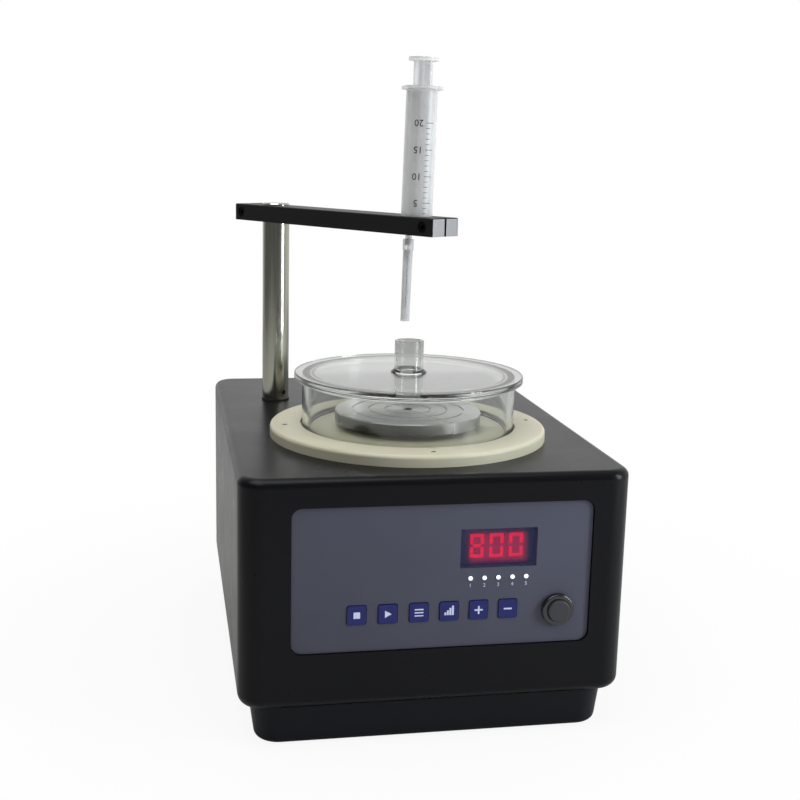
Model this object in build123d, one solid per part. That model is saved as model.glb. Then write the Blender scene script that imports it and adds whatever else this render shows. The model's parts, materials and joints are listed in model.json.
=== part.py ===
"""Solids of a bench-top spin coater, one STEP file per piece, in millimetres.

Frame: +X to the operator's right, -Y to the front, +Z up, origin under the
middle of the overall box, on the surface that the feet stand on.
"""
import os
from math import atan2, cos, degrees, hypot, radians, sin

from build123d import *

# Case and plinth
CASE_W, CASE_D = 220.0, 296.0
FOOT_H, PLINTH_Z0 = 3.0, 0.8
PLINTH_TOP, CASE_TOP = 24.0, 155.0
PLINTH_W, PLINTH_D, PLINTH_FLARE, LIP_H = 200.0, 280.0, 3.0, 6.0
WALL, FLOOR = 4.0, 5.2
CORNER_R = 14.0
FRONT_REACH, REAR_REACH = 3.5, 18.0
CASE_Y = (FRONT_REACH - REAR_REACH) / 2
FRONT_Y, REAR_Y = CASE_Y - CASE_D / 2, CASE_Y + CASE_D / 2
OPENING_W, OPENING_D, OPENING_R = 196.0, 272.0, 56.0
FOOT_X, FOOT_DY = 76.0, 108.0
CASE_SCREW_X, CASE_SCREW_DY = 86.0, 126.0

# Spindle, deck ring, bowl, lid and chuck
SPIN_Y = CASE_Y - 45.5
RING_R, RING_H, WELL_DEPTH = 84.5, 7.0, 2.0
RING_TOP = CASE_TOP + RING_H
WELL_Z = RING_TOP - WELL_DEPTH
RING_SCREW_PCR, RING_SCREW_R = 75.7, 1.6
BOWL_R, BOWL_WALL, BOWL_H, BOWL_GAP, GASKET_H = 65.0, 3.5, 28.9, 1.0, 0.6
WELL_R = BOWL_R + BOWL_GAP
BOWL_TOP = WELL_Z + GASKET_H + BOWL_H
LID_R, LID_T, CHIMNEY_R, CHIMNEY_BORE, CHIMNEY_H = 69.8, 4.0, 8.8, 7.25, 19.5
CHIMNEY_TOP = BOWL_TOP + LID_T + CHIMNEY_H
CHUCK_R, CHUCK_Z0, CHUCK_Z1 = 44.75, 163.5, 170.5
SHAFT_R, SHAFT_BORE, SHAFT_Z0, SHAFT_Z1 = 6.0, 2.0, 34.0, 168.0

# Bearings (28 x 12 x 8) and motor
BRG_OR, BRG_W, BALL_R, BALL_PCR = 14.0, 8.0, 2.38, 10.0
BRG_Z = (101.0, 137.0)
HOUSING_Z0, HOUSING_Z1 = 100.0, 151.0
CAN_R, CAN_WALL, CAN_Z0 = 38.0, 2.5, 50.0
STATOR_BORE, STATOR_Z0, STATOR_Z1, SLOTS = 22.4, 60.0, 92.0, 12
ROTOR_R = 21.9

# Front panel: positions are measured from its middle
PANEL_X, PANEL_W, PANEL_H, PANEL_Z = 2.5, 169.0, 83.0, 97.6
PANEL_RECESS, PLATE_T = 1.5, 2.0
PANEL_FACE = FRONT_Y + PANEL_RECESS
PLATE_BACK = FRONT_Y + WALL + PLATE_T
BOARD_Y = PLATE_BACK + 11.5
WINDOW_X0, WINDOW_X1 = PANEL_X + 8.9, PANEL_X + 52.5
WINDOW_Z0, WINDOW_Z1 = 101.8, 124.1
LED_X, LED_Z, LED_R = [PANEL_X + x for x in (15.0, 23.0, 30.9, 39.0, 46.9)], 95.8, 1.2
KEY_X = [PANEL_X + x for x in (-48.3, -31.0, -13.6, 3.35, 20.2, 36.9)]
KEY_Z, KEY_W, KEY_H, KEY_GAP = 77.4, 10.5, 10.8, 0.35
BUTTON_X, BUTTON_Z = PANEL_X + 65.8, 75.7
DIGIT_X0, DIGIT_PITCH, DIGIT_W, DIGIT_H, SEG_W = PANEL_X + 15.3, 11.2, 7.8, 13.8, 1.7

# Rear panel
PORT_X, PORT_Z, PORT_R = -60.0, 60.0, 4.0
INLET_X, INLET_Z = 60.0, 60.0

# Support rod, arm and syringe
ROD_X, ROD_Y, ROD_R = -71.5, CASE_Y + 66.2, 9.0
WASHER_H, ROD_Z1 = 1.0, 289.5
ROD_Z0 = CASE_TOP + WASHER_H
ARM_Z0, ARM_Z1, ARM_W = 277.2, 288.0, 23.0
ARM_TAIL, ARM_NOSE = 30.0, 24.0
SYR_X, SYR_Y = 2.8, CASE_Y - 43.0
SYR_TILT = 1.2
BARREL_R, BARREL_BORE, BARREL_LOW, BARREL_HIGH = 9.4, 8.4, -4.3, 80.8
NOZZLE_DX = -4.3
ARM_REACH = hypot(SYR_X - ROD_X, SYR_Y - ROD_Y)
ARM_ANGLE = degrees(atan2(SYR_Y - ROD_Y, SYR_X - ROD_X))
ARM_LOC = Location((ROD_X, ROD_Y, 0), (0, 0, ARM_ANGLE))
SYR_LOC = Location((SYR_X, SYR_Y, (ARM_Z0 + ARM_Z1) / 2), (0, SYR_TILT, 0))


def cyl(x, y, z0, z1, r):
    """Upright cylinder."""
    return Pos(x, y, (z0 + z1) / 2) * Cylinder(r, z1 - z0)


def cone(x, y, z0, z1, r0, r1):
    """Upright cone frustum."""
    return Pos(x, y, (z0 + z1) / 2) * Cone(r0, r1, z1 - z0)


def tube(x, y, z0, z1, ro, ri):
    """Upright tube."""
    return cyl(x, y, z0, z1, ro) - cyl(x, y, z0 - 1, z1 + 1, ri)


def ycyl(x, z, y0, y1, r):
    """Cylinder along Y."""
    return Pos(x, (y0 + y1) / 2, z) * Rot(90, 0, 0) * Cylinder(r, abs(y1 - y0))


def block(x0, x1, y0, y1, z0, z1):
    """Box from its six limits."""
    return Pos((x0 + x1) / 2, (y0 + y1) / 2, (z0 + z1) / 2) * Box(x1 - x0, y1 - y0, z1 - z0)


def slab(w, d, r, z0, z1, y=CASE_Y):
    """Upright prism with rounded corners, centred on the case."""
    return extrude(Pos(0, y, z0) * RectangleRounded(w, d, r), amount=z1 - z0)


def yslab(x, z, w, h, r, y0, y1):
    """Rounded rectangle seen from the front, from y0 back to y1."""
    face = Plane((x, y1, z), x_dir=(1, 0, 0), z_dir=(0, -1, 0)) * RectangleRounded(w, h, r)
    return extrude(face, amount=y1 - y0)


def four(dx, dy, y=CASE_Y):
    """Four mirror positions about the case centre."""
    return [(sx * dx, y + sy * dy) for sx in (-1, 1) for sy in (-1, 1)]


def ring_points(r, n, start=0.0):
    """Points on a circle about the spindle."""
    angles = [radians(start + 360 * i / n) for i in range(n)]
    return [(r * cos(a), SPIN_Y + r * sin(a)) for a in angles]


def cut(body, tools):
    """Subtract every tool."""
    for tool in tools:
        body = body - tool
    return body


def hexagon(x, y, z0, z1, af):
    """Hexagonal prism across flats af."""
    return extrude(Pos(x, y, z0) * RegularPolygon(af / 2, 6, major_radius=False), amount=z1 - z0)


# ---------------------------------------------------------------- case
def plinth():
    height = PLINTH_TOP - PLINTH_Z0
    skin = extrude(Pos(0, CASE_Y, PLINTH_Z0) * RectangleRounded(PLINTH_W, PLINTH_D, CORNER_R),
                   amount=height, taper=-degrees(atan2(PLINTH_FLARE, height)))
    skin = fillet(skin.edges().group_by(Axis.Z)[0], 4)
    lip = slab(OPENING_W - 0.6, OPENING_D - 0.6, OPENING_R - 0.3, PLINTH_TOP - 1, PLINTH_TOP + LIP_H)
    body = skin + lip - slab(187, 263, 52, PLINTH_Z0 + FLOOR, PLINTH_TOP + LIP_H + 1)
    for x, y in four(FOOT_X, FOOT_DY):
        body = body - cyl(x, y, 0, FOOT_H, 9.2) - cyl(x, y, 0, 12, 1.6)
    for x, y in four(CASE_SCREW_X, CASE_SCREW_DY):
        body = body - cyl(x, y, 0, 12, 3.6) - cyl(x, y, 11, 42, 2.3)
    return body


def upper_case():
    outer = slab(CASE_W, CASE_D, CORNER_R, PLINTH_TOP, CASE_TOP)
    outer = fillet(outer.edges().group_by(Axis.Z)[-1], 5)
    outer = fillet(outer.edges().group_by(Axis.Z)[0], 7)
    floor_z = PLINTH_TOP + WALL
    body = outer - slab(CASE_W - 2 * WALL, CASE_D - 2 * WALL, CORNER_R - WALL, floor_z, CASE_TOP - WALL)
    body = body - slab(OPENING_W, OPENING_D, OPENING_R, PLINTH_TOP - 5, floor_z + 3)
    for x, y in four(CASE_SCREW_X, CASE_SCREW_DY):
        body = body + cyl(x, y, floor_z - 1, floor_z + 10, 5) - cyl(x, y, 20, floor_z + 8, 1.9)
    tools = [cyl(0, SPIN_Y, 140, 160, 8.5), cyl(ROD_X, ROD_Y, 140, 160, 4.05)]
    tools += [cyl(x, y, 140, 160, RING_SCREW_R) for x, y in ring_points(RING_SCREW_PCR, 4)]
    tools += [cyl(x, y, 140, 154, 1.5) for x, y in ring_points(31, 4, 45)]
    tools += [yslab(PANEL_X, PANEL_Z, PANEL_W, PANEL_H, 6, FRONT_Y - 1, FRONT_Y + WALL + 1)]
    tools += [yslab(INLET_X, INLET_Z, 27.4, 20.4, 1, REAR_Y - 6, REAR_Y + 1)]
    tools += [ycyl(INLET_X + s * 20, INLET_Z, REAR_Y - 6, REAR_Y + 1, 1.5) for s in (-1, 1)]
    tools += [ycyl(PORT_X, PORT_Z, REAR_Y - 6, REAR_Y + 1, PORT_R)]
    return cut(body, tools)


def feet():
    pads = [tube(x, y, 0, FOOT_H, 9, 1.6) - cyl(x, y, -1, 1.4, 3.4) for x, y in four(FOOT_X, FOOT_DY)]
    return Compound(pads)


def foot_screws():
    return Compound([cyl(x, y, 0.3, 1.4, 3.0) + cyl(x, y, 1.3, 10, 1.6)
                     for x, y in four(FOOT_X, FOOT_DY)])


def case_screws():
    return Compound([cyl(x, y, 9, 12, 3.2) + cyl(x, y, 11, PLINTH_TOP + WALL + 7, 1.9)
                     - hexagon(x, y, 8, 10.5, 3) for x, y in four(CASE_SCREW_X, CASE_SCREW_DY)])


# ---------------------------------------------------------------- deck
def deck_ring():
    body = cyl(0, SPIN_Y, CASE_TOP, RING_TOP, RING_R)
    body = fillet(body.edges().group_by(Axis.Z)[-1], 2.5)
    body = body - cyl(0, SPIN_Y, WELL_Z, RING_TOP + 8, WELL_R)
    body = body - cyl(0, SPIN_Y, CASE_TOP - 5, RING_TOP + 3, 24)
    for x, y in ring_points(RING_SCREW_PCR, 4):
        body = body - cyl(x, y, 150, 165, RING_SCREW_R)
    return body


def ring_screws():
    top = RING_TOP - 0.6
    return Compound([cyl(x, y, 148, top, RING_SCREW_R) - hexagon(x, y, top - 1.2, top + 1, 1.5)
                     for x, y in ring_points(RING_SCREW_PCR, 4)])


def bowl_gasket():
    return tube(0, SPIN_Y, WELL_Z, WELL_Z + GASKET_H, BOWL_R + 0.4, BOWL_R - 5)


def splash_bowl():
    wall = tube(0, SPIN_Y, WELL_Z + GASKET_H, BOWL_TOP, BOWL_R, BOWL_R - BOWL_WALL)
    return chamfer(wall.edges(), 0.3)


def lid():
    z1 = BOWL_TOP + LID_T
    plate = cyl(0, SPIN_Y, BOWL_TOP, z1, LID_R)
    plate = fillet(plate.edges().group_by(Axis.Z)[-1], 1)
    lip = tube(0, SPIN_Y, BOWL_TOP - 3, BOWL_TOP + 0.5, BOWL_R - BOWL_WALL - 0.35, 58.5)
    return plate + lip - cyl(0, SPIN_Y, 180, 220, CHIMNEY_R)


def lid_chimney():
    """Tube bonded through the lid, with a bead of cement round its foot."""
    z1 = BOWL_TOP + LID_T
    spout = cyl(0, SPIN_Y, BOWL_TOP, CHIMNEY_TOP, CHIMNEY_R)
    bead = cone(0, SPIN_Y, z1, z1 + 2.5, CHIMNEY_R + 2.5, CHIMNEY_R)
    return spout + bead - cyl(0, SPIN_Y, 180, 220, CHIMNEY_BORE)


# ---------------------------------------------------------------- spindle
def chuck():
    disc = cyl(0, SPIN_Y, CHUCK_Z0, CHUCK_Z1, CHUCK_R)
    disc = chamfer(disc.edges(), 0.5)
    body = disc + cyl(0, SPIN_Y, 157, CHUCK_Z0 + 1, 12)
    for r in (14.0, 24.0, 34.0):
        body = body - tube(0, SPIN_Y, CHUCK_Z1 - 0.6, CHUCK_Z1 + 1, r + 0.5, r - 0.5)
    body = body - block(-34, 34, SPIN_Y - 0.5, SPIN_Y + 0.5, CHUCK_Z1 - 0.6, CHUCK_Z1 + 1)
    body = body - block(-0.5, 0.5, SPIN_Y - 34, SPIN_Y + 34, CHUCK_Z1 - 0.6, CHUCK_Z1 + 1)
    return body - cyl(0, SPIN_Y, 150, SHAFT_Z1, SHAFT_R) - cyl(0, SPIN_Y, 160, 175, 3)


def shaft():
    return tube(0, SPIN_Y, SHAFT_Z0, SHAFT_Z1, SHAFT_R, SHAFT_BORE)


def groove(z):
    """Ball track of one bearing."""
    return Pos(0, SPIN_Y, z + BRG_W / 2) * Torus(BALL_PCR, BALL_R + 0.06)


def bearing_inner_rings():
    return Compound([tube(0, SPIN_Y, z, z + BRG_W, 8.5, SHAFT_R) - groove(z) for z in BRG_Z])


def bearing_outer_rings():
    return Compound([tube(0, SPIN_Y, z, z + BRG_W, BRG_OR, 11.6) - groove(z) for z in BRG_Z])


def bearing_balls():
    """Both rows of balls."""
    return Compound([Pos(x, y, z + BRG_W / 2) * Sphere(BALL_R) for z in BRG_Z
                     for x, y in ring_points(BALL_PCR, 7)])


def bearing_housing():
    body = cyl(0, SPIN_Y, HOUSING_Z0, HOUSING_Z0 + 5, CAN_R) + cyl(0, SPIN_Y, HOUSING_Z0, HOUSING_Z1, 25)
    body = body + cyl(0, SPIN_Y, HOUSING_Z1 - 5, HOUSING_Z1, 36)
    body = body - cyl(0, SPIN_Y, 90, 160, 12.5) - cyl(0, SPIN_Y, 90, BRG_Z[0] + BRG_W, BRG_OR)
    body = body - cyl(0, SPIN_Y, BRG_Z[1], 160, BRG_OR)
    body = cut(body, [cyl(x, y, 140, 160, 1.7) for x, y in ring_points(31, 4, 45)])
    return cut(body, [cyl(x, y, 90, 110, 1.7) for x, y in ring_points(32, 4)])


def shaft_seal():
    body = tube(0, SPIN_Y, BRG_Z[1] + BRG_W, HOUSING_Z1, BRG_OR, SHAFT_R + 0.4)
    return body - cyl(0, SPIN_Y, BRG_Z[1] + BRG_W - 1, BRG_Z[1] + BRG_W + 2, 11.5)


def motor_screws():
    """Four screws up into the case top and four down into the motor can."""
    up = [cyl(x, y, 143, 146, 2.8) + cyl(x, y, 145.5, 153.5, 1.5) for x, y in ring_points(31, 4, 45)]
    down = [cyl(x, y, 105, 108, 2.8) + cyl(x, y, 97.5, 105.5, 1.5) for x, y in ring_points(32, 4)]
    return Compound(up + down)


def motor_can():
    body = tube(0, SPIN_Y, CAN_Z0, HOUSING_Z0, CAN_R, CAN_R - CAN_WALL)
    body = body + tube(0, SPIN_Y, HOUSING_Z0 - 3, HOUSING_Z0, CAN_R - 1, 9)
    return cut(body, [cyl(x, y, 95, 105, 1.5) for x, y in ring_points(32, 4)])


def motor_stator():
    body = tube(0, SPIN_Y, STATOR_Z0, STATOR_Z1, CAN_R - CAN_WALL, STATOR_BORE)
    for i in range(SLOTS):
        turn = Pos(0, SPIN_Y, (STATOR_Z0 + STATOR_Z1) / 2) * Rot(0, 0, 360 * i / SLOTS)
        body = body - turn * Pos(23, 0, 0) * Box(6, 2.4, 40) - turn * Pos(28, 0, 0) * Box(7, 6, 40)
    return body


def motor_windings():
    ends = [tube(0, SPIN_Y, z, z + 4, 32.5, 25.5) for z in (STATOR_Z0 - 4, STATOR_Z1)]
    return Compound([fillet(e.edges().group_by(Axis.Z)[k], 1.5) for e, k in zip(ends, (0, -1))])


def motor_rotor():
    return tube(0, SPIN_Y, STATOR_Z0 - 1, STATOR_Z1 + 1, ROTOR_R, SHAFT_R)


def motor_end_cap():
    body = cyl(0, SPIN_Y, CAN_Z0 - 4, CAN_Z0, CAN_R) + cyl(0, SPIN_Y, CAN_Z0 - 1, CAN_Z0 + 3,
                                                          CAN_R - CAN_WALL)
    return body - cyl(0, SPIN_Y, 40, 60, 9)


def rotary_union():
    """Static suction coupling under the turning shaft, with a side nipple."""
    body = cyl(0, SPIN_Y, 26, 45, 11) + cyl(0, SPIN_Y, 43, CAN_Z0 - 4, 14)
    body = body + ycyl(0, 31.5, SPIN_Y + 5, SPIN_Y + 26, 3)
    body = body - cyl(0, SPIN_Y, SHAFT_Z0 + 1, 50, SHAFT_R + 0.5) - cyl(0, SPIN_Y, 29, 36, 6.5)
    body = body + tube(0, SPIN_Y, 37, 43, 7, SHAFT_R + 0.05)
    return body - ycyl(0, 31.5, SPIN_Y, SPIN_Y + 30, 1.6)


def vacuum_hose():
    """Hose from the coupling's nipple to the barb behind the rear wall."""
    a, b = (0, SPIN_Y + 12, 31.5), (0, SPIN_Y + 70, 31.5)
    c, d = (PORT_X, REAR_Y - 62, PORT_Z), (PORT_X, REAR_Y - 12, PORT_Z)
    path = FilletPolyline(a, b, c, d, radius=40)
    ring = Plane(a, x_dir=(1, 0, 0), z_dir=(0, 1, 0)) * (Circle(4.8) - Circle(3))
    return sweep(ring, path=path)


# ---------------------------------------------------------------- rear
def vacuum_port():
    body = ycyl(PORT_X, PORT_Z, REAR_Y - 8, REAR_Y + REAR_REACH, PORT_R)
    body = body + ycyl(PORT_X, PORT_Z, REAR_Y, REAR_Y + 4, 7)
    body = body + ycyl(PORT_X, PORT_Z, REAR_Y - 28, REAR_Y - 7, 3)
    return body - ycyl(PORT_X, PORT_Z, REAR_Y - 30, REAR_Y + 20, 1.8)


def port_nut():
    face = Plane((PORT_X, REAR_Y - 4, PORT_Z), x_dir=(1, 0, 0), z_dir=(0, -1, 0))
    body = extrude(face * RegularPolygon(6, 6, major_radius=False), amount=3)
    return body - ycyl(PORT_X, PORT_Z, REAR_Y - 10, REAR_Y, PORT_R)


def power_inlet():
    body = yslab(INLET_X, INLET_Z, 48, 22, 4, REAR_Y, REAR_Y + 3)
    body = body + yslab(INLET_X, INLET_Z, 27, 20, 1, REAR_Y - 28, REAR_Y + 1)
    body = body - yslab(INLET_X, INLET_Z, 24, 16.5, 3, REAR_Y - 18, REAR_Y + 4)
    for x, z in inlet_pin_points():
        body = body - block(x - 1, x + 1, REAR_Y - 30, REAR_Y - 10, z - 2, z + 2)
    return cut(body, [ycyl(INLET_X + s * 20, INLET_Z, REAR_Y - 1, REAR_Y + 4, 1.5) for s in (-1, 1)])


def inlet_pin_points():
    """Middles of the three blades."""
    return [(INLET_X - 7, INLET_Z - 2), (INLET_X, INLET_Z + 2), (INLET_X + 7, INLET_Z - 2)]


def inlet_pins():
    return Compound([block(x - 1, x + 1, REAR_Y - 34, REAR_Y - 3.5, z - 2, z + 2)
                     for x, z in inlet_pin_points()])


def inlet_screws():
    return Compound([ycyl(INLET_X + s * 20, INLET_Z, REAR_Y + 3, REAR_Y + 4.8, 2.8)
                     + ycyl(INLET_X + s * 20, INLET_Z, REAR_Y - 8, REAR_Y + 3.5, 1.5) for s in (-1, 1)])


def power_supply():
    """Converter board on four posts, with its transformer, coil and capacitors."""
    z0 = PLINTH_Z0 + FLOOR
    body = block(40, 86, -4, 70, z0 + 8, z0 + 9.6)
    for x in (45, 81):
        for y in (2, 64):
            body = body + cyl(x, y, z0, z0 + 8.5, 3)
    body = body + block(50, 76, 10, 34, z0 + 9, z0 + 29) + block(46, 52, 38, 66, z0 + 9, z0 + 27)
    return body + cyl(68, 46, z0 + 9, z0 + 31, 7) + cyl(70, 62, z0 + 9, z0 + 24, 5)


# ---------------------------------------------------------------- panel
def panel_plate():
    body = yslab(PANEL_X, PANEL_Z, PANEL_W + 9, PANEL_H + 9, 6, FRONT_Y + WALL, PLATE_BACK)
    body = body + yslab(PANEL_X, PANEL_Z, PANEL_W - 0.6, PANEL_H - 0.6, 5.7, PANEL_FACE, PLATE_BACK - 1)
    tools = [block(WINDOW_X0, WINDOW_X1, PANEL_FACE - 1, PLATE_BACK + 1, WINDOW_Z0, WINDOW_Z1)]
    tools += [ycyl(x, LED_Z, PANEL_FACE - 1, PLATE_BACK + 1, LED_R) for x in LED_X]
    tools += [yslab(x, KEY_Z, KEY_W + 2 * KEY_GAP, KEY_H + 2 * KEY_GAP, 1.5, PANEL_FACE - 1,
                    PLATE_BACK + 1) for x in KEY_X]
    tools += [ycyl(BUTTON_X, BUTTON_Z, PANEL_FACE - 1, PLATE_BACK + 1, 8)]
    return cut(body, tools)


def display_window():
    return block(WINDOW_X0, WINDOW_X1, PANEL_FACE + 0.2, PLATE_BACK - 0.2, WINDOW_Z0, WINDOW_Z1)


def display_module():
    return block(WINDOW_X0 - 2, WINDOW_X1 + 2, PLATE_BACK + 0.5, BOARD_Y, WINDOW_Z0 - 2, WINDOW_Z1 + 2)


def segments(x, z):
    """Seven strokes of one figure, named a to g; x, z is its lower left corner."""
    w, h, t = DIGIT_W, DIGIT_H, SEG_W
    y0, y1, e = PLATE_BACK + 0.1, PLATE_BACK + 0.5, 0.2
    rows = {"d": z, "g": z + (h - t) / 2, "a": z + h - t}
    cols = {"e": (x, z), "c": (x + w - t, z), "f": (x, z + h / 2), "b": (x + w - t, z + h / 2)}
    out = {k: block(x + t + e, x + w - t - e, y0, y1, v, v + t) for k, v in rows.items()}
    out.update({k: block(a, a + t, y0, y1, b + e + t / 2 * (k in "fb"), b + h / 2 - e - t / 2 * (k in "ec"))
                for k, (a, b) in cols.items()})
    return out


def display_digits():
    """Lit strokes of the figure 800."""
    z = (WINDOW_Z0 + WINDOW_Z1 - DIGIT_H) / 2
    lit = []
    for i, names in enumerate(("abcdefg", "abcdef", "abcdef")):
        strokes = segments(DIGIT_X0 + i * DIGIT_PITCH, z)
        lit += [strokes[n] for n in names]
    return Compound(lit)


def indicator_leds():
    return Compound([ycyl(x, LED_Z, PANEL_FACE, BOARD_Y, LED_R) + Pos(x, PANEL_FACE, LED_Z) * Sphere(LED_R)
                     for x in LED_X])


def key_cap(x):
    body = yslab(x, KEY_Z, KEY_W, KEY_H, 1.2, PANEL_FACE - 0.6, PLATE_BACK + 0.5)
    return body + yslab(x, KEY_Z, KEY_W + 2.4, KEY_H + 2.4, 1.5, PLATE_BACK, PLATE_BACK + 1.2)


def control_board():
    body = block(-80, WINDOW_X1 + 3, BOARD_Y, BOARD_Y + 1.6, 62, 128)
    return cut(body, [ycyl(x, z, BOARD_Y - 1, BOARD_Y + 3, 1.5) for x, z in standoff_points()])


def standoff_points():
    """Corners where the board is held to the plate."""
    return [(-76, 66), (50, 66), (-76, 124), (0, 124)]


def board_standoffs():
    return Compound([ycyl(x, z, PLATE_BACK, BOARD_Y, 3) + ycyl(x, z, BOARD_Y - 1, BOARD_Y + 3, 1.5)
                     for x, z in standoff_points()])


def tact_switches():
    return Compound([yslab(x, KEY_Z, 6, 6, 0.5, BOARD_Y - 3.6, BOARD_Y)
                     + ycyl(x, KEY_Z, PLATE_BACK + 2.4, BOARD_Y - 3, 1.7) for x in KEY_X])


def button_bezel():
    body = ycyl(BUTTON_X, BUTTON_Z, PANEL_FACE - 3, PANEL_FACE, 9.25)
    body = fillet(body.edges().group_by(Axis.Y)[0], 1)
    body = body + ycyl(BUTTON_X, BUTTON_Z, PANEL_FACE - 1, PANEL_FACE + 22, 8)
    body = body - ycyl(BUTTON_X, BUTTON_Z, PANEL_FACE - 4, PANEL_FACE + 4, 6.75)
    return body - ycyl(BUTTON_X, BUTTON_Z, PANEL_FACE + 3.9, PANEL_FACE + 20, 7.3)


def button_nut():
    face = Plane((BUTTON_X, PLATE_BACK + 3.5, BUTTON_Z), x_dir=(1, 0, 0), z_dir=(0, -1, 0))
    body = extrude(face * RegularPolygon(10.5, 6, major_radius=False), amount=3.5)
    return body - ycyl(BUTTON_X, BUTTON_Z, PLATE_BACK - 1, PLATE_BACK + 5, 8)


def power_button():
    body = ycyl(BUTTON_X, BUTTON_Z, PANEL_FACE - 5, PANEL_FACE + 5, 6.35)
    body = fillet(body.edges().group_by(Axis.Y)[0], 0.8)
    return body + ycyl(BUTTON_X, BUTTON_Z, PANEL_FACE + 4, PANEL_FACE + 6, 6.9)


# ---------------------------------------------------------------- post and arm
def support_rod():
    body = cyl(ROD_X, ROD_Y, ROD_Z0, ROD_Z1, ROD_R)
    body = chamfer(body.edges().group_by(Axis.Z)[-1], 0.8)
    body = body + cyl(ROD_X, ROD_Y, 141, ROD_Z0 + 1, 4)
    hole = Pos(ROD_X, ROD_Y, ROD_Z0 + 5) * Rot(0, 0, 35) * Rot(90, 0, 0) * Cylinder(1.5, 30)
    return body - hole


def rod_washer():
    return tube(ROD_X, ROD_Y, CASE_TOP, ROD_Z0, ROD_R + 0.4, 4.4)


def rod_nut():
    return hexagon(ROD_X, ROD_Y, 144.5, CASE_TOP - WALL, 13) - cyl(ROD_X, ROD_Y, 140, 155, 4)


def arm_cross(x, y0, y1, r):
    """Cylinder across the arm, x from the rod, y from the arm's middle plane."""
    return Pos(x, (y0 + y1) / 2, (ARM_Z0 + ARM_Z1) / 2) * Rot(90, 0, 0) * Cylinder(r, y1 - y0)


def arm_beam():
    x1 = ARM_REACH + ARM_NOSE
    beam = block(-ARM_TAIL, x1, -ARM_W / 2, ARM_W / 2, ARM_Z0, ARM_Z1)
    beam = fillet(beam.edges().filter_by(Axis.Z), 1.2)
    beam = chamfer(beam.edges().group_by(Axis.Z)[-1], 0.5)
    tools = [cyl(0, 0, 270, 295, ROD_R + 0.05), block(-ARM_TAIL - 1, -5, -0.8, 0.8, 270, 295)]
    tools += [block(ARM_REACH + 5, x1 + 1, -0.8, 0.8, 270, 295)]
    for x in arm_screw_points():
        tools += [arm_cross(x, -ARM_W, -ARM_W / 2 + 3, 3.4), arm_cross(x, -ARM_W, ARM_W / 2 - 2, 1.9)]
    beam = ARM_LOC * cut(beam, tools)
    return beam - SYR_LOC * Cylinder(BARREL_R, 40)


def arm_screw_points():
    """Clamp screw positions along the arm, from the rod."""
    return [-ARM_TAIL + 7, ARM_REACH + ARM_NOSE - 8]


def arm_screws():
    screws = [arm_cross(x, -ARM_W / 2 + 0.4, -ARM_W / 2 + 3, 3.1) + arm_cross(x, -9, ARM_W / 2 - 2.5, 1.9)
              - arm_cross(x, -ARM_W / 2, -ARM_W / 2 + 2, 1.4) for x in arm_screw_points()]
    return Compound([ARM_LOC * s for s in screws])


# ---------------------------------------------------------------- syringe
def syringe_barrel():
    body = cyl(0, 0, BARREL_LOW, BARREL_HIGH, BARREL_R)
    wing = extrude(Pos(0, 0, BARREL_HIGH - 1.8) * RectangleRounded(22, 34, 10.5), amount=1.8)
    nozzle = cyl(NOZZLE_DX, 0, -12, BARREL_LOW + 0.5, 2.0)
    bore = cyl(0, 0, BARREL_LOW + 1, BARREL_HIGH + 1, BARREL_BORE)
    return SYR_LOC * (body + wing + nozzle - bore - cyl(NOZZLE_DX, 0, -13, 0, 0.9))


def needle_hub():
    body = cyl(NOZZLE_DX, 0, -15, -8.5, 3.3) + cyl(NOZZLE_DX, 0, -18, -14.5, 2.28)
    body = body + cone(NOZZLE_DX, 0, -22, -17.5, 1.1, 1.8)
    return SYR_LOC * (body - cyl(NOZZLE_DX, 0, -12, -8, 2.0) - cyl(NOZZLE_DX, 0, -23, -11, 0.4))


def cannula():
    return SYR_LOC * cyl(NOZZLE_DX, 0, -50, -16, 0.4)


def needle_sheath():
    body = cone(NOZZLE_DX, 0, -58, -15, 2.75, 3.0)
    return SYR_LOC * (body - cyl(NOZZLE_DX, 0, -57, -14, 2.35))


def plunger_rod():
    ribs = block(-7, 7, -0.7, 0.7, 6, 96) + block(-0.7, 0.7, -7, 7, 6, 96)
    body = Rot(0, 0, 30) * ribs + cyl(0, 0, 95.4, 97.4, 8.8) + cyl(0, 0, 5.5, 7, 7.6)
    return SYR_LOC * body


def stopper():
    body = cyl(0, 0, -1.3, 5.5, BARREL_BORE - 0.05) - tube(0, 0, 0.5, 3.5, 9, 7.7)
    return SYR_LOC * body


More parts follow.
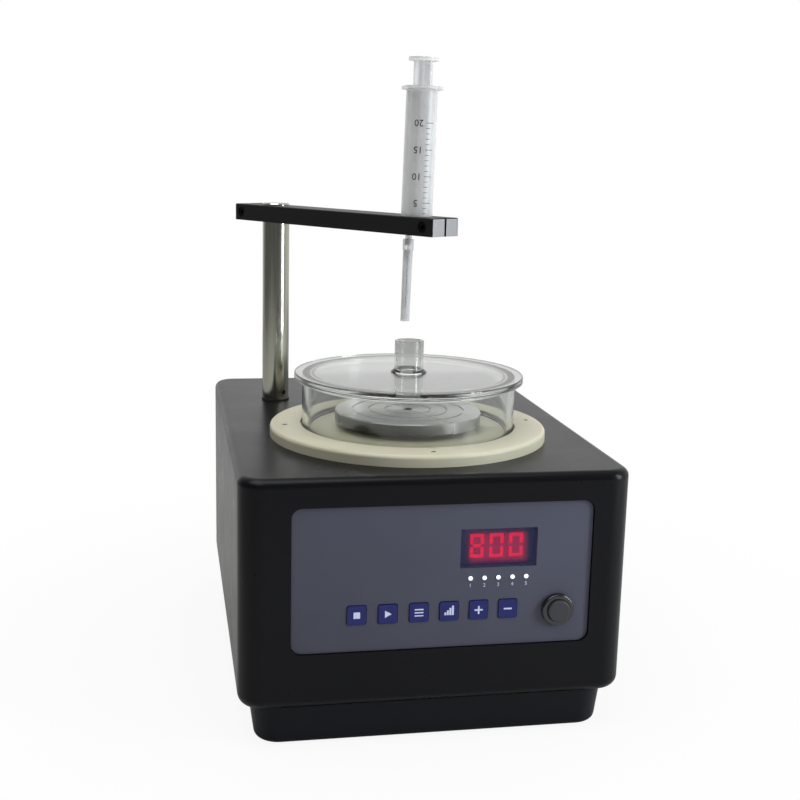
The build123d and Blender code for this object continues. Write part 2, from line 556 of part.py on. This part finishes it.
PIECES = {
    "plinth": plinth, "upper_case": upper_case, "feet": feet, "foot_screws": foot_screws,
    "case_screws": case_screws, "deck_ring": deck_ring, "ring_screws": ring_screws,
    "bowl_gasket": bowl_gasket, "splash_bowl": splash_bowl, "lid": lid, "lid_chimney": lid_chimney, "chuck": chuck,
    "shaft": shaft, "bearing_inner_rings": bearing_inner_rings,
    "bearing_outer_rings": bearing_outer_rings, "bearing_balls": bearing_balls,
    "bearing_housing": bearing_housing, "shaft_seal": shaft_seal, "motor_screws": motor_screws,
    "motor_can": motor_can, "motor_stator": motor_stator, "motor_windings": motor_windings,
    "motor_rotor": motor_rotor, "motor_end_cap": motor_end_cap, "rotary_union": rotary_union,
    "vacuum_hose": vacuum_hose, "vacuum_port": vacuum_port, "port_nut": port_nut,
    "power_inlet": power_inlet,
    "inlet_pins": inlet_pins, "inlet_screws": inlet_screws, "power_supply": power_supply,
    "panel_plate": panel_plate, "display_window": display_window, "display_module": display_module,
    "display_digits": display_digits, "indicator_leds": indicator_leds,
    "control_board": control_board, "board_standoffs": board_standoffs,
    "tact_switches": tact_switches, "button_bezel": button_bezel, "button_nut": button_nut,
    "power_button": power_button, "support_rod": support_rod, "rod_washer": rod_washer,
    "rod_nut": rod_nut, "arm_beam": arm_beam, "arm_screws": arm_screws,
    "syringe_barrel": syringe_barrel, "needle_hub": needle_hub, "cannula": cannula,
    "needle_sheath": needle_sheath, "plunger_rod": plunger_rod, "stopper": stopper,
}


def main():
    os.makedirs("parts", exist_ok=True)
    for name, make in PIECES.items():
        export_step(make(), "parts/" + name + ".step")
    for i, x in enumerate(KEY_X, 1):
        export_step(key_cap(x), "parts/key_%d.step" % i)


main()
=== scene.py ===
"""Looks, studio and camera for the bench-top spin coater."""

import json
from math import cos, pi, radians, sin

import bmesh
import bpy
from mathutils import Matrix, Vector


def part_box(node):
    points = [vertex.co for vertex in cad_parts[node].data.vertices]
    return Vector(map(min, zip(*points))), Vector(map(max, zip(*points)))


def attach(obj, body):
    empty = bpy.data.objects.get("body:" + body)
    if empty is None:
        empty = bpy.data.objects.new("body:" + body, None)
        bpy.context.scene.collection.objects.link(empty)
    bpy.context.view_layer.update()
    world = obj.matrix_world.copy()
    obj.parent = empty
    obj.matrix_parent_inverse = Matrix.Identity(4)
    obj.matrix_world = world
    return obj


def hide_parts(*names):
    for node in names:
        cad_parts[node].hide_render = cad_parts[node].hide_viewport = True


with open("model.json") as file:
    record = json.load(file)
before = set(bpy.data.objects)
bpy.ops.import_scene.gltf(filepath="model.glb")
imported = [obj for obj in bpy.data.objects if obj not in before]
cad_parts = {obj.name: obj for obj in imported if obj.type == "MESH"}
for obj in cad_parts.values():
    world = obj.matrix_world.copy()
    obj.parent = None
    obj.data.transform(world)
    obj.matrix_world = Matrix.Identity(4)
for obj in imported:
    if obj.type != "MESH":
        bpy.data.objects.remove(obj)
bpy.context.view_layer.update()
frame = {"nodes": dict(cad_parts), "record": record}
nodes = frame["nodes"]
for plain in list(bpy.data.materials):
    bpy.data.materials.remove(plain)
MM = 0.001


def middle(node):
    """Centre of a CAD node's box."""
    low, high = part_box(node)
    return (low + high) / 2


# ------------------------------------------------------------- finishes
class Sock:
    """A shader socket; arithmetic on it adds Math nodes."""

    def __init__(self, finish, out):
        self.finish, self.out = finish, out

    def math(self, operation, a, b=0.0):
        return self.finish.node("Math", {"operation": operation}, {0: a, 1: b})

    def __add__(self, other):
        return self.math("ADD", self, other)

    def __sub__(self, other):
        return self.math("SUBTRACT", self, other)

    def __rsub__(self, other):
        return self.math("SUBTRACT", other, self)

    def __mul__(self, other):
        return self.math("MULTIPLY", self, other)

    def __gt__(self, other):
        return self.math("GREATER_THAN", self, other)

    def __lt__(self, other):
        return self.math("LESS_THAN", self, other)

    __radd__ = __add__
    __rmul__ = __mul__

    def smooth(self, low, high):
        """0 below low, 1 above high, eased between."""
        return self.finish.node("MapRange", {"interpolation_type": "SMOOTHSTEP"},
                                {"Value": self, "From Min": low, "From Max": high})


class Finish:
    """A material's node tree, built around one Principled shader."""

    def __init__(self, name, colour, rough=0.5, metal=0.0, **sockets):
        self.mat = bpy.data.materials.new(name)
        self.mat.use_nodes = True
        self.tree = self.mat.node_tree
        self.shader = self.tree.nodes["Principled BSDF"]
        self.output = self.tree.nodes["Material Output"]
        self.set("Base Color", rgb(colour) if isinstance(colour, tuple) else colour)
        self.set("Roughness", rough)
        self.set("Metallic", metal)
        for name, value in sockets.items():
            self.set(name.replace("_", " ").title().replace("Ior", "IOR"), value)

    def set(self, name, value):
        """Give the Principled shader's socket a value or a link."""
        if isinstance(value, Sock):
            self.tree.links.new(value.out, self.shader.inputs[name])
        else:
            self.shader.inputs[name].default_value = value

    def node(self, kind, settings=None, inputs=None, output=0):
        """Add a node, its settings first, then its sockets' values or links."""
        node = self.tree.nodes.new("ShaderNode" + kind)
        settings = dict(settings or {})
        stops = settings.pop("stops", None)
        for key, value in settings.items():
            setattr(node, key, value)
        if stops:
            ramp = node.color_ramp
            while len(ramp.elements) < len(stops):
                ramp.elements.new(0.5)
            for element, (place, colour) in zip(ramp.elements, stops):
                element.position, element.color = place, colour
        for key, value in (inputs or {}).items():
            if isinstance(value, Sock):
                self.tree.links.new(value.out, node.inputs[key])
            else:
                node.inputs[key].default_value = value
        return Sock(self, node.outputs[output])

    def place(self, centre=(0, 0, 0), scale=(1, 1, 1)):
        """Object coordinates about a centre."""
        where = self.node("TexCoord", output=3)
        moved = self.node("VectorMath", {"operation": "SUBTRACT"}, {0: where, 1: centre})
        return self.node("VectorMath", {"operation": "MULTIPLY"}, {0: moved, 1: scale})

    def axis(self, vector, index):
        """One coordinate of a vector."""
        return self.node("SeparateXYZ", inputs={0: vector}, output=index)

    def noise(self, vector, scale, detail=3.0, rough=0.5):
        return self.node("TexNoise", inputs={"Vector": vector, "Scale": scale, "Detail": detail,
                                             "Roughness": rough})

    def mix(self, factor, a, b):
        """Blend two colours."""
        return self.node("Mix", {"data_type": "RGBA"}, {0: factor, 6: a, 7: b}, output=2)

    def bump(self, height, strength, distance=0.0002):
        normal = self.node("Bump", inputs={"Height": height, "Strength": strength, "Distance": distance})
        self.set("Normal", normal)


def rgb(colour):
    """Screen colour 0-255 to a linear shader colour."""
    out = [(c / 255 / 12.92 if c <= 10 else ((c / 255 + 0.055) / 1.055) ** 2.4) for c in colour[:3]]
    return (*out, 1.0)


def tint(colour, k):
    return tuple(max(0, min(255, c * k)) for c in colour)


def mottled(name, colour, rough, spread=0.08, grain=900.0, bump=0.15, metal=0.0, **sockets):
    """Painted or moulded surface with faint tone and roughness changes and a fine grain."""
    f = Finish(name, colour, rough, metal, **sockets)
    where = f.place()
    cloud = f.noise(where, 22.0, 4.0)
    f.set("Base Color", f.mix(cloud, rgb(tint(colour, 1 - spread)), rgb(tint(colour, 1 + spread))))
    f.set("Roughness", f.noise(where, 60.0) * 0.08 + (rough - 0.04))
    f.bump(f.noise(where, grain, 2.0), bump)
    return f


def brushed(name, colour, rough, stretch, grain=260.0, bump=0.12, metal=1.0, **sockets):
    """Metal with fine lines along one direction."""
    f = Finish(name, colour, rough, metal, **sockets)
    lines = f.noise(f.place(scale=stretch), grain, 4.0, 0.6)
    f.set("Base Color", f.mix(lines, rgb(tint(colour, 0.86)), rgb(tint(colour, 1.1))))
    f.set("Roughness", lines * 0.14 + (rough - 0.06))
    f.bump(lines, bump, 0.00005)
    return f


def case_paint():
    f = Finish("case_paint", (13, 14, 17), 0.3, specular_ior_level=0.13)
    where = f.place()
    f.set("Base Color", f.mix(f.noise(where, 12.0, 4.0), rgb((10, 10, 12)), rgb((15, 15, 19))))
    f.set("Roughness", f.noise(where, 35.0, 4.0) * 0.1 + 0.24)
    f.bump(f.noise(where, 1400.0, 2.0), 0.1, 0.00006)
    return f


def panel_film():
    """Slate overlay with painted shading: darker at the lower left, lighter at the upper right, as the
    light falls.
    """
    f = Finish("panel_slate", (75, 77, 88), 0.42, specular_ior_level=0.2)
    where = f.place(middle("panel_plate"))
    # painted shading and light: a diagonal ramp darkens the slate to the lower left and lightens it to
    # the upper right; the noise on top is the overlay's own random tone
    painted_light_slope = f.axis(where, 0) * 2.2 + f.axis(where, 2) * 4.0 + 0.5
    cloud = painted_light_slope * 0.8 + f.noise(where, 30.0) * 0.3
    f.set("Base Color", f.mix(cloud, rgb((58, 59, 69)), rgb((80, 82, 97))))
    f.bump(f.noise(where, 2600.0, 2.0), 0.1, 0.00005)
    return f


def window_tint():
    """Dark blue window with the glow that the lit figure leaves on it."""
    f = Finish("window_blue", (36, 38, 92), 0.12, alpha=0.4)
    low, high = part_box("display_digits")
    where = f.place((low + high) / 2)
    half = (high - low) / 2
    across = f.node("Math", {"operation": "ABSOLUTE"}, {0: f.axis(where, 0)})
    up = f.node("Math", {"operation": "ABSOLUTE"}, {0: f.axis(where, 2)})
    glow = (1 - across.smooth(half.x - 0.001, half.x + 0.003)) * (1 - up.smooth(half.z - 0.001,
                                                                              half.z + 0.003))
    cloud = f.noise(where, 90.0)
    f.set("Base Color", f.mix(cloud, rgb((24, 26, 74)), rgb((36, 38, 90))))
    f.set("Emission Color", f.mix(glow, (0, 0, 0, 1), (0.34, 0.002, 0.012, 1)))
    f.set("Emission Strength", 1.0)
    return f


def lit(name, colour, strength):
    f = Finish(name, colour, 0.4)
    where = f.place()
    f.set("Emission Color", f.mix(f.noise(where, 300.0), rgb(tint(colour, 0.9)), rgb(colour)))
    f.set("Emission Strength", strength)
    return f


def clear(name, colour, rough=0.02, ior=1.47, **sockets):
    """Clear polymer with faint streaks in its polish."""
    f = Finish(name, colour, rough, transmission_weight=1.0, ior=ior, **sockets)
    where = f.place()
    f.set("Roughness", f.noise(where, 40.0, 4.0) * 0.05 + (rough - 0.015))
    f.bump(f.noise(where, 14.0, 2.0), 0.02, 0.0006)
    return f


def turned_face():
    """Chuck face with a painted radial sheen in its colour, and fine lathe rings."""
    f = Finish("chuck_aluminium", (186, 188, 188), 0.2, 1.0)
    where = f.place(middle("chuck"))
    x, y = f.axis(where, 0), f.axis(where, 1)
    angle = f.node("Math", {"operation": "ARCTAN2"}, {0: y, 1: x})
    radius = f.node("VectorMath", {"operation": "LENGTH"},
                    {0: f.node("CombineXYZ", inputs={0: x, 1: y})}, output=1)
    painted_sheen_fan = f.node("Math", {"operation": "COSINE"}, {0: angle * 2.0 + 0.9}) * 0.5 + 0.5
    rings = f.node("Math", {"operation": "SINE"}, {0: radius * 16000.0}) * 0.5 + 0.5
    # painted highlight: the fan lightens and darkens the base colour in two radial lobes, standing in
    # for the turned face's sheen; it also varies the roughness
    f.set("Base Color", f.mix(painted_sheen_fan, rgb((92, 93, 90)), rgb((196, 197, 192))))
    f.set("Roughness", painted_sheen_fan * 0.12 + 0.2)
    f.bump(rings, 0.25, 0.00004)
    return f


def misty(name, colour, rough, cover):
    """Thin hazy moulding: mostly seen through, denser where it turns edge on."""
    f = Finish(name, colour, rough)
    where = f.place()
    f.set("Base Color", f.mix(f.noise(where, 70.0), rgb(tint(colour, 0.95)), rgb(tint(colour, 1.03))))
    f.set("Alpha", f.node("LayerWeight", inputs={"Blend": 0.35}, output=1) * 0.5 + cover)
    f.bump(f.noise(where, 500.0), 0.05, 0.0001)
    return f


M = {f.mat.name: f.mat for f in (
    case_paint(), panel_film(), window_tint(), turned_face(),
    mottled("plinth_paint", (16, 17, 22), 0.35, specular_ior_level=0.13),
    mottled("foot_rubber", (24, 24, 25), 0.8, bump=0.3),
    mottled("ring_cream", (184, 180, 158), 0.45, 0.02, 700.0, 0.1, subsurface_weight=0.1,
            subsurface_radius=(0.004, 0.003, 0.002)),
    mottled("gasket", (96, 96, 96), 0.6),
    mottled("hose_silicone", (214, 214, 206), 0.45, 0.03),
    mottled("black_plastic", (26, 26, 28), 0.45),
    mottled("supply_board", (36, 84, 52), 0.5),
    mottled("control_green", (30, 78, 48), 0.45),
    mottled("module_black", (30, 30, 70), 0.5),
    mottled("key_blue", (24, 30, 92), 0.3, 0.06, 500.0, 0.08, specular_ior_level=0.3),
    mottled("button_black", (16, 16, 18), 0.2, coat_weight=0.5),
    mottled("button_grey", (52, 53, 58), 0.35, 0.05, specular_ior_level=0.3),
    mottled("stopper_rubber", (46, 46, 48), 0.6),
    mottled("copper_coils", (176, 98, 50), 0.35, 0.2, 1500.0, 0.6, metal=0.8),
    mottled("motor_black", (34, 34, 36), 0.4),
    mottled("print_light", (196, 200, 226), 0.5, 0.02),
    mottled("print_dark", (22, 22, 24), 0.5, 0.02),
    brushed("arm_black", (19, 19, 20), 0.42, (1, 1, 12), 500.0, 0.1, 0.0, specular_ior_level=0.2),
    brushed("arm_cut_face", (136, 137, 138), 0.4, (1, 1, 6), 700.0, 0.2),
    brushed("rod_stainless", (172, 172, 160), 0.16, (1, 1, 0.01), 900.0, 0.2),
    brushed("steel_screw", (150, 150, 150), 0.35, (1, 1, 1)),
    brushed("screw_black", (26, 26, 28), 0.4, (1, 1, 1)),
    brushed("shaft_steel", (170, 172, 175), 0.25, (1, 1, 8)),
    brushed("bearing_steel", (190, 192, 196), 0.15, (1, 1, 8)),
    brushed("motor_aluminium", (150, 153, 158), 0.35, (1, 1, 8)),
    brushed("motor_laminations", (84, 86, 90), 0.5, (0.1, 0.1, 14)),
    brushed("port_nickel", (196, 196, 196), 0.2, (1, 0.1, 1)),
    brushed("nut_nickel", (175, 178, 182), 0.25, (1, 1, 1)),
    brushed("contact_brass", (200, 172, 96), 0.25, (1, 0.1, 1)),
    lit("digit_red", (220, 3, 16), 1.5), lit("led_white", (235, 238, 245), 1.2),
    clear("clear_acrylic", (238, 240, 238)), misty("sheath_clear", (205, 206, 207), 0.2, 0.34),
    misty("syringe_clear", (222, 223, 223), 0.3, 0.38),
)}


# ------------------------------------------------------------- pieces
def record_slots():
    return {s["node"]: s["material_slot"] for s in frame["record"]["subparts"]}


SLOT = record_slots()


def finish_mesh(name, bm, body, material, angle=32.0, smooth=True):
    """Turn a bmesh into a piece that rides on a body."""
    mesh = bpy.data.meshes.new(name)
    bm.to_mesh(mesh)
    bm.free()
    obj = bpy.data.objects.new(name, mesh)
    bpy.context.scene.collection.objects.link(obj)
    mesh.materials.append(M[material])
    if "custom_normal" in mesh.attributes:
        mesh.attributes.remove(mesh.attributes["custom_normal"])
    if smooth:
        mesh.shade_smooth()
        mesh.set_sharp_from_angle(angle=radians(angle))
        even = obj.modifiers.new("even", "WEIGHTED_NORMAL")
        even.keep_sharp, even.weight = True, 100
    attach(obj, body)
    return obj


def body_of(node):
    for body, members in frame["record"]["behaviour"]["bodies"].items():
        if node in members:
            return body


def smooth_copy(node, angle=32.0, paint=None):
    """A merged, smooth-shaded copy of a CAD node in its place."""
    bm = bmesh.new()
    bm.from_mesh(nodes[node].data)
    bmesh.ops.remove_doubles(bm, verts=bm.verts, dist=2e-6)
    obj = finish_mesh(node + "_skin", bm, body_of(node), paint or SLOT[node], angle)
    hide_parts(node)
    return obj


def lathe(name, profile, centre, body, material, steps=128, angle=32.0):
    """Spin an (r, z) profile in millimetres about an upright axis."""
    bm = bmesh.new()
    verts = [bm.verts.new((r * MM, 0, z * MM)) for r, z in profile]
    pairs = list(zip(verts, verts[1:] + verts[:1]))
    edges = [bm.edges.new(pair) for pair in pairs]
    bmesh.ops.spin(bm, geom=verts + edges, cent=(0, 0, 0), axis=(0, 0, 1), angle=2 * pi, steps=steps,
                   use_merge=True)
    bmesh.ops.remove_doubles(bm, verts=bm.verts, dist=1e-6)
    bmesh.ops.recalc_face_normals(bm, faces=bm.faces)
    bmesh.ops.transform(bm, matrix=Matrix.Translation(Vector(centre)), verts=bm.verts)
    return finish_mesh(name, bm, body, material, angle)


def rounded(profile, r, steps=4):
    """Round every corner of a closed (r, z) profile by radius r."""
    out = []
    n = len(profile)
    for i, p in enumerate(profile):
        p, a, b = Vector(p), Vector(profile[i - 1]), Vector(profile[(i + 1) % n])
        if p.x < 0.01:
            out.append(tuple(p))
            continue
        k = min(r, (a - p).length * 0.45, (b - p).length * 0.45)
        start, end = p + (a - p).normalized() * k, p + (b - p).normalized() * k
        for j in range(steps + 1):
            t = j / steps
            out.append(tuple(start * (1 - t) ** 2 + p * 2 * t * (1 - t) + end * t ** 2))
    return out


def plate(name, outline, y, body, material, depth=0.00006):
    """Thin print: an (x, z) outline in millimetres on a face that looks to the front."""
    bm = bmesh.new()
    face = bm.faces.new([bm.verts.new((x * MM, y, z * MM)) for x, z in outline])
    out = bmesh.ops.extrude_face_region(bm, geom=[face])
    moved = [v for v in out["geom"] if isinstance(v, bmesh.types.BMVert)]
    bmesh.ops.translate(bm, verts=moved, vec=(0, -depth, 0))
    bmesh.ops.recalc_face_normals(bm, faces=bm.faces)
    return finish_mesh(name, bm, body, material, smooth=False)


def lettering(name, text, size):
    """A bmesh of flat figures in the XY plane, centred on the origin, in metres."""
    curve = bpy.data.curves.new(name, "FONT")
    curve.body, curve.size = text, size
    curve.align_x, curve.align_y = "CENTER", "CENTER"
    curve.extrude = 0.00003
    obj = bpy.data.objects.new(name, curve)
    bpy.context.scene.collection.objects.link(obj)
    bpy.context.view_layer.update()
    mesh = bpy.data.meshes.new_from_object(obj)
    bm = bmesh.new()
    bm.from_mesh(mesh)
    bpy.data.objects.remove(obj)
    bpy.data.curves.remove(curve)
    bpy.data.meshes.remove(mesh)
    return bm


for node in nodes:
    nodes[node].data.materials.clear()
    nodes[node].data.materials.append(M[SLOT[node]])

# Nodes that get their own piece further down, and nodes that stay as the CAD model has them
OWN_PIECE = {"splash_bowl", "lid", "lid_chimney", "syringe_barrel", "needle_sheath", "chuck",
             "support_rod", "plunger_rod"}
KEPT_PLAIN = {"bearing_inner_rings", "bearing_outer_rings", "bearing_balls", "bearing_housing",
              "shaft_seal", "motor_screws", "motor_can", "motor_stator", "motor_windings",
              "motor_rotor", "motor_end_cap", "rotary_union", "vacuum_hose", "port_nut",
              "inlet_pins", "power_supply", "display_window", "display_module",
              "display_digits", "control_board", "board_standoffs", "tact_switches",
              "button_nut", "rod_nut"}
for node in sorted(nodes):
    if node not in OWN_PIECE | KEPT_PLAIN:
        smooth_copy(node, paint="screw_black" if node == "arm_screws" else None)

# Bare sawn face at the front end of the arm
beam = bpy.data.objects["arm_beam_skin"]
beam.data.materials.append(M["arm_cut_face"])
reach = (middle("syringe_barrel") - middle("support_rod")).to_2d().to_3d().normalized()
far = max(v.co @ reach for v in beam.data.vertices)
for face in beam.data.polygons:
    if abs(face.normal @ reach) > 0.98 and face.center @ reach > far - 0.5 * MM:
        face.material_index = 1

# Bowl, lid and chuck, turned about the spindle
spin = middle("chuck")
AXIS = (spin.x, spin.y, 0)
BOWL_IN, BOWL_OUT, BOWL_LOW, BOWL_HIGH = 61.5, 65, 160.6, 189.5
LID_OUT, LID_HIGH, LIP_IN, LIP_OUT, LIP_LOW = 69.8, 193.5, 58.5, 61.15, 186.5
TUBE_IN, TUBE_OUT, TUBE_HIGH, BEAD_OUT, BEAD_HIGH = 7.25, 8.8, 213, 11.3, 196
HAIR = 0.02
CHUCK_OUT, CHUCK_LOW, CHUCK_HIGH, CHUCK_EDGE = 44.75, 163.5, 170.5, 0.5
HUB_OUT, HUB_LOW, SHAFT_OUT, SHAFT_HIGH, PORT = 12, 157, 6, 168, 3
GROOVES, GROOVE_HALF, GROOVE_FLOOR = (14.0, 24.0, 34.0), 0.5, 169.9

lathe("bowl_wall", rounded([(BOWL_IN, BOWL_LOW), (BOWL_OUT, BOWL_LOW), (BOWL_OUT, BOWL_HIGH),
                            (BOWL_IN, BOWL_HIGH)], 0.4), AXIS, "bowl", "clear_acrylic",
      160)
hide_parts("splash_bowl")
lathe("lid_plate", rounded([(TUBE_OUT + HAIR, BOWL_HIGH), (LIP_IN, BOWL_HIGH), (LIP_IN, LIP_LOW),
                            (LIP_OUT, LIP_LOW), (LIP_OUT, BOWL_HIGH), (LID_OUT, BOWL_HIGH),
                            (LID_OUT, LID_HIGH), (TUBE_OUT + HAIR, LID_HIGH)], 0.8), AXIS, "lid",
      "clear_acrylic", 160)
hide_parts("lid")
lathe("chimney_tube", rounded([(TUBE_IN, BOWL_HIGH), (TUBE_OUT - HAIR, BOWL_HIGH), (TUBE_OUT, 193.55),
                               (BEAD_OUT, 193.55), (TUBE_OUT, BEAD_HIGH), (TUBE_OUT, TUBE_HIGH),
                               (TUBE_IN, TUBE_HIGH)], 0.3), AXIS, "lid", "clear_acrylic",
      96)
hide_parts("lid_chimney")
chuck_profile = [(PORT, SHAFT_HIGH), (PORT, CHUCK_HIGH)]
for r in GROOVES:
    chuck_profile += [(r - GROOVE_HALF, CHUCK_HIGH), (r - GROOVE_HALF, GROOVE_FLOOR),
                      (r + GROOVE_HALF, GROOVE_FLOOR), (r + GROOVE_HALF, CHUCK_HIGH)]
chuck_profile += [(CHUCK_OUT - CHUCK_EDGE, CHUCK_HIGH), (CHUCK_OUT, CHUCK_HIGH - CHUCK_EDGE),
                  (CHUCK_OUT, CHUCK_LOW + CHUCK_EDGE), (CHUCK_OUT - CHUCK_EDGE, CHUCK_LOW),
                  (HUB_OUT, CHUCK_LOW), (HUB_OUT, HUB_LOW), (SHAFT_OUT, HUB_LOW),
                  (SHAFT_OUT, SHAFT_HIGH)]
lathe("chuck_disc", chuck_profile, AXIS, "spindle", "chuck_aluminium", 160)
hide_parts("chuck")

# Support rod
smooth_copy("support_rod")

# Syringe, in its own tilted frame
arm_low, arm_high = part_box("arm_beam")
SYRINGE_TILT, SYRINGE_X, SYRINGE_Y = 1.2, 2.8, -50.25
TILT = Matrix.Rotation(radians(SYRINGE_TILT), 4, "Y")
SYR = Vector((SYRINGE_X * MM, SYRINGE_Y * MM, (arm_low.z + arm_high.z) / 2))
smooth_copy("syringe_barrel")
smooth_copy("needle_sheath")
smooth_copy("plunger_rod")

BARREL_R = 9.45 * MM
FACE = -0.30


def on_barrel(name, bm, along, around, flip=True):
    """Wrap flat figures (x across, y along) round the barrel."""
    if flip:
        bmesh.ops.rotate(bm, verts=bm.verts, cent=(0, 0, 0), matrix=Matrix.Rotation(pi, 3, "Z"))
    for v in bm.verts:
        angle = FACE + around + v.co.x / BARREL_R
        r = BARREL_R + v.co.z
        v.co = (r * sin(angle), -r * cos(angle), v.co.y + along * MM)
    bmesh.ops.recalc_face_normals(bm, faces=bm.faces)
    bmesh.ops.transform(bm, matrix=Matrix.Translation(SYR) @ TILT, verts=bm.verts)
    return finish_mesh(name, bm, "arm", "print_dark", smooth=False)


ZERO, PITCH = -2.0, 15.45
FIGURE_TALL, LONG_TICK, SHORT_TICK, TICK_WIDE = 5.6, 5.0, 2.6, 0.28
for step in range(1, 5):
    on_barrel("volume_%d" % (step * 5), lettering("figure", str(step * 5), FIGURE_TALL * MM),
              ZERO + PITCH * step, -0.02)
for step in range(0, 21):
    bm = bmesh.new()
    bmesh.ops.create_grid(bm, x_segments=4, y_segments=1, size=0.5)
    wide = LONG_TICK if step % 5 == 0 else SHORT_TICK
    bmesh.ops.scale(bm, vec=(wide * MM, TICK_WIDE * MM, 1), verts=bm.verts)
    bmesh.ops.translate(bm, vec=(wide / 2 * MM, 0, 0.00004), verts=bm.verts)
    on_barrel("tick_%02d" % step, bm, ZERO + PITCH * step / 5, 0.45, False)

# Figures under the lamps and signs on the keys
plate_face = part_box("panel_plate")[0].y
LED_X, LAMP_FIGURE_Z, LAMP_FIGURE_TALL = (17.5, 25.5, 33.4, 41.5, 49.4), 91.6, 3.0
for i, x in enumerate(LED_X, 1):
    bm = lettering("figure", str(i), LAMP_FIGURE_TALL * MM)
    bmesh.ops.rotate(bm, verts=bm.verts, cent=(0, 0, 0), matrix=Matrix.Rotation(pi / 2, 3, "X"))
    bmesh.ops.translate(bm, verts=bm.verts, vec=(x * MM, plate_face - 0.00004, LAMP_FIGURE_Z * MM))
    finish_mesh("lamp_figure_%d" % i, bm, "housing", "print_light", smooth=False)


def bar(cx, cz, w, h):
    """Outline of an upright rectangle."""
    return [(cx - w / 2, cz - h / 2), (cx + w / 2, cz - h / 2), (cx + w / 2, cz + h / 2),
            (cx - w / 2, cz + h / 2)]


KEY_X, KEY_Z = (-45.8, -28.5, -11.1, 5.85, 22.7, 39.4), 77.4
key_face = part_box("key_1")[0].y
SIGNS = {1: [bar(0, 0, 3.6, 3.6)], 2: [[(-1.7, -2.1), (2.1, 0), (-1.7, 2.1)]],
         3: [bar(0, -1.8, 5, 0.7), bar(0, 0, 5, 0.7), bar(0, 1.8, 5, 0.7)],
         4: [bar(-2.1, -1.4, 1.1, 1.6), bar(-0.7, -0.8, 1.1, 2.8), bar(0.7, -0.1, 1.1, 4.2),
             bar(2.1, 0.5, 1.1, 5.4)],
         5: [bar(0, 0, 4.6, 0.9), bar(0, 0, 0.9, 4.6)], 6: [bar(0, 0, 4.6, 0.9)]}
for key, outlines in SIGNS.items():
    for j, outline in enumerate(outlines):
        moved = [(x + KEY_X[key - 1], z + KEY_Z) for x, z in outline]
        plate("key_%d_sign_%d" % (key, j + 1), moved, key_face, "key_%d" % key, "print_light",
              0.00005 + 0.00002 * j)


# ------------------------------------------------------------- studio
def area(name, place, aim, width, height, power, colour=(1, 1, 1)):
    lamp = bpy.data.lights.new(name, "AREA")
    lamp.shape, lamp.size, lamp.size_y = "RECTANGLE", width, height
    lamp.energy, lamp.color = power, colour
    obj = bpy.data.objects.new(name, lamp)
    obj.location = place
    obj.rotation_euler = (Vector(aim) - Vector(place)).to_track_quat("-Z", "Y").to_euler()
    bpy.context.scene.collection.objects.link(obj)
    return obj


area("window_right", (1.1, -0.75, 0.5), (0, -0.05, 0.2), 0.35, 0.9, 16, (0.9, 0.95, 1))
area("soft_top", (-0.35, -0.35, 1.5), (0, 0, 0.15), 1.3, 1.3, 20)

world = bpy.data.worlds.new("studio")
bpy.context.scene.world = world
world.use_nodes = True
tree = world.node_tree
back = tree.nodes["Background"]
back.inputs["Color"].default_value = (1, 1, 1, 1)
where = tree.nodes.new("ShaderNodeTexCoord")
lean = tree.nodes.new("ShaderNodeVectorMath")
lean.operation = "DOT_PRODUCT"
lean.inputs[1].default_value = (0.6, 1.0, 0.0)
tree.links.new(where.outputs["Generated"], lean.inputs[0])
room = tree.nodes.new("ShaderNodeMapRange")
room.interpolation_type = "SMOOTHSTEP"
for key, value in (("From Min", -0.5), ("From Max", 1.0), ("To Min", 0.13), ("To Max", 0.9)):
    room.inputs[key].default_value = value
tree.links.new(lean.outputs["Value"], room.inputs["Value"])
rays = tree.nodes.new("ShaderNodeLightPath")
seen = tree.nodes.new("ShaderNodeMath")
seen.operation = "MAXIMUM"
tree.links.new(rays.outputs["Is Camera Ray"], seen.inputs[0])
tree.links.new(rays.outputs["Is Transmission Ray"], seen.inputs[1])
level = tree.nodes.new("ShaderNodeMapRange")
level.inputs["To Max"].default_value = 1.0
tree.links.new(seen.outputs[0], level.inputs["Value"])
tree.links.new(room.outputs[0], level.inputs["To Min"])
tree.links.new(level.outputs[0], back.inputs["Strength"])

bm = bmesh.new()
bmesh.ops.create_grid(bm, x_segments=1, y_segments=1, size=1.4)
mesh = bpy.data.meshes.new("floor")
bm.to_mesh(mesh)
bm.free()
floor = bpy.data.objects.new("floor", mesh)
bpy.context.scene.collection.objects.link(floor)
f = Finish("floor_pale", (206, 206, 204), 0.9)
rays = f.node("LightPath", output=0)
glow = f.node("Emission", inputs={"Color": (1, 1, 1, 1), "Strength": 1.0})
clearing = f.node("VectorMath", {"operation": "LENGTH"}, {0: f.place()}, output=1).smooth(0.1, 0.45)
blend = f.node("MixShader", inputs={0: rays * (clearing * 0.1 + 0.9), 1: Sock(f, f.shader.outputs[0]),
                                    2: glow})
f.tree.links.new(blend.out, f.output.inputs["Surface"])
mesh.materials.append(f.mat)

# ------------------------------------------------------------- camera
YAW, PITCH_DOWN, ROLL = 0.19173, 0.20162, 0.02426
FOCAL = 1233.01
PLACE = Vector((-0.14646, -0.78159, 0.32774))
look = Vector((sin(YAW) * cos(PITCH_DOWN), cos(YAW) * cos(PITCH_DOWN), -sin(PITCH_DOWN)))
side = Vector((cos(YAW), -sin(YAW), 0))
over = side.cross(look)
right = side * cos(ROLL) + over * sin(ROLL)
up = over * cos(ROLL) - side * sin(ROLL)
lens = bpy.data.cameras.new("camera")
lens.sensor_width, lens.lens = 36.0, FOCAL / 800 * 36
lens.clip_start = 0.01
camera = bpy.data.objects.new("camera", lens)
camera.matrix_world = Matrix.Translation(PLACE) @ Matrix((right, up, -look)).transposed().to_4x4()
bpy.context.scene.collection.objects.link(camera)
bpy.context.scene.camera = camera
bpy.context.scene.view_settings.view_transform = "Standard"
